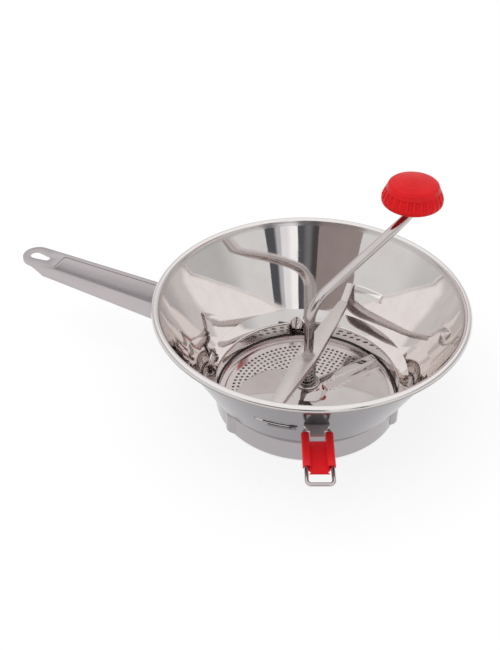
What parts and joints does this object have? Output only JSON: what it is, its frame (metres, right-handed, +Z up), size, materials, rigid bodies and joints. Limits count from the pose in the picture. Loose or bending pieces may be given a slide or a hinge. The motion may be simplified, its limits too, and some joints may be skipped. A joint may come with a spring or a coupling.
{
  "type": "food mill",
  "caption": "Conical stainless strainer bowl with a long channel handle, folding support feet and a lift-out perforated disc, worked by a cranked rod with a helical blade under a crossbar.",
  "frame": {"origin": "bowl axis at the bottom edge", "axes": "+Z up along the bowl axis, handle along -X, crossbar along Y, folding feet on the +X side"},
  "size_m": [0.4001, 0.2878, 0.1735],
  "materials": {
    "polished_steel": "mirror-polished stainless sheet",
    "satin_steel": "satin stainless sheet",
    "disc_steel": "bright rolled stainless sheet",
    "bright_steel": "polished stainless rod and wire",
    "red_coating": "smooth red powder coating",
    "red_plastic": "glossy red moulded plastic"
  },
  "bodies": {
    "frame": {"bowl": "polished_steel", "handle_bracket": "satin_steel", "handle": "satin_steel", "handle_rivets": "bright_steel", "foot_bracket_front": "satin_steel", "foot_bracket_rear": "satin_steel"},
    "foot_front": {"foot_wire_front": "bright_steel", "foot_sleeve_front": "red_coating"},
    "foot_rear": {"foot_wire_rear": "bright_steel", "foot_sleeve_rear": "red_coating"},
    "strainer": {"disc": "disc_steel", "disc_eyelet": "satin_steel"},
    "bridge": {"crossbar": "satin_steel", "bar_bush": "satin_steel", "spring": "bright_steel", "spring_seat": "satin_steel"},
    "crank": {"crank_rod": "bright_steel", "blade": "polished_steel", "blade_hub": "bright_steel", "hub_pin": "satin_steel", "knob_washer": "satin_steel"},
    "grip": {"knob": "red_plastic", "knob_cap": "red_plastic"}
  },
  "joints": [
    {"name": "front_foot_fold", "type": "hinge", "parent": "frame", "child": "foot_front", "pos_m": [0.04571, -0.09497, 0.0624], "axis": [0.9011, 0.4337, 0], "range_deg": [0, 100]},
    {"name": "rear_foot_fold", "type": "hinge", "parent": "frame", "child": "foot_rear", "pos_m": [0.04571, 0.09497, 0.0624], "axis": [-0.9011, 0.4337, 0], "range_deg": [0, 100]},
    {"name": "bridge_lift", "type": "slide", "parent": "frame", "child": "bridge", "axis": [0, 0, 1], "range_m": [0, 0.12]},
    {"name": "disc_lift", "type": "slide", "parent": "frame", "child": "strainer", "axis": [0, 0, 1], "range_m": [0, 0.06]},
    {"name": "crank_turn", "type": "hinge", "parent": "bridge", "child": "crank", "pos_m": [0, 0, 0.045], "axis": [0, 0, 1], "continuous": true},
    {"name": "knob_spin", "type": "hinge", "parent": "crank", "child": "grip", "pos_m": [0.04765, 0.08962, 0.16], "axis": [0, 0, 1], "continuous": true}
  ],
  "couplings": [
    {"joint": "disc_lift", "follows": "bridge_lift", "ratio": 0.5}
  ]
}
